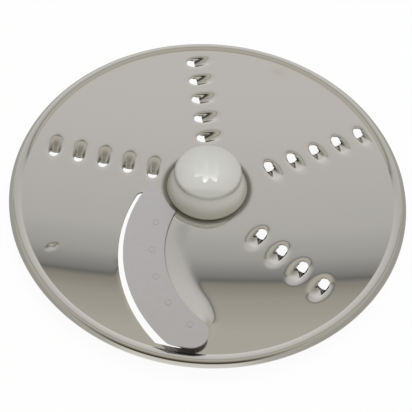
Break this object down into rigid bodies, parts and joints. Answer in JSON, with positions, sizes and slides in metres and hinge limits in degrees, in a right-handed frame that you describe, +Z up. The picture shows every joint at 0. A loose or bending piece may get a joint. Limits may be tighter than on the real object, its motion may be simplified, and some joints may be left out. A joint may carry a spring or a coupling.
{
  "type": "food processor disc",
  "caption": "Round pressed steel food processor disc with a welded curved slicing blade over a slot, rows of grating teeth pressed through it and a moulded plastic drive hub.",
  "frame": {"origin": "centre of the hub's foot, on the surface the disc rests on", "axes": "+Z up along the drive axis, towards the hub's closed top; +X and +Y in the plate's plane, with the picture taken from -Y"},
  "size_m": [0.175, 0.175, 0.0224],
  "materials": {
    "plate_steel": "polished stainless steel",
    "blade_steel": "satin stainless steel",
    "hub_plastic": "slightly translucent moulded plastic"
  },
  "bodies": {
    "root": {"disc_plate": "plate_steel", "slicing_blade": "blade_steel", "drive_hub": "hub_plastic"}
  },
  "joints": []
}
